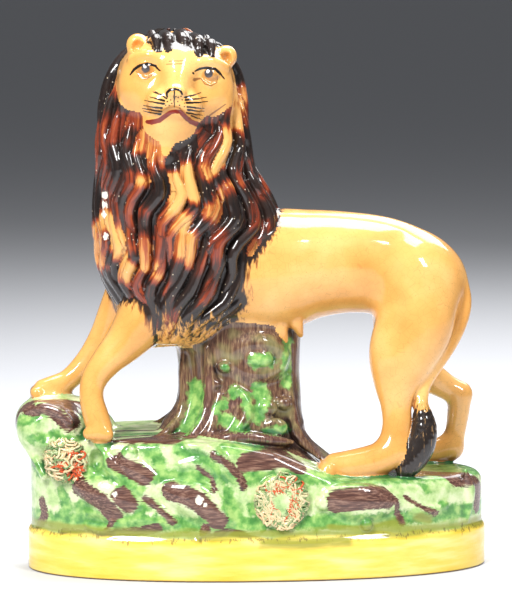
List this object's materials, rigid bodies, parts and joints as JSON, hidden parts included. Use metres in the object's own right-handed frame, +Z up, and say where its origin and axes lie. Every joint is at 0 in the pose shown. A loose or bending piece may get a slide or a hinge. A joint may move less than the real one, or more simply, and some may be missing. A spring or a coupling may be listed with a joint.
{
  "type": "lion figure",
  "caption": "Glazed earthenware lion with a long mane, standing over a tree stump on a rocky oval mound with a plain band at its foot; it rests on its flat underside.",
  "frame": {"origin": "the middle of the underside", "axes": "+Z up, +X towards the rump along the mound, -Y towards the side that the face looks to"},
  "size_m": [0.1766, 0.074, 0.2005],
  "materials": {
    "glazed_earthenware": "glossy clear lead glaze over brushed ochre, manganese, iron red, green and yellow"
  },
  "bodies": {
    "root": {"lion_on_mound": "glazed_earthenware"}
  },
  "joints": []
}
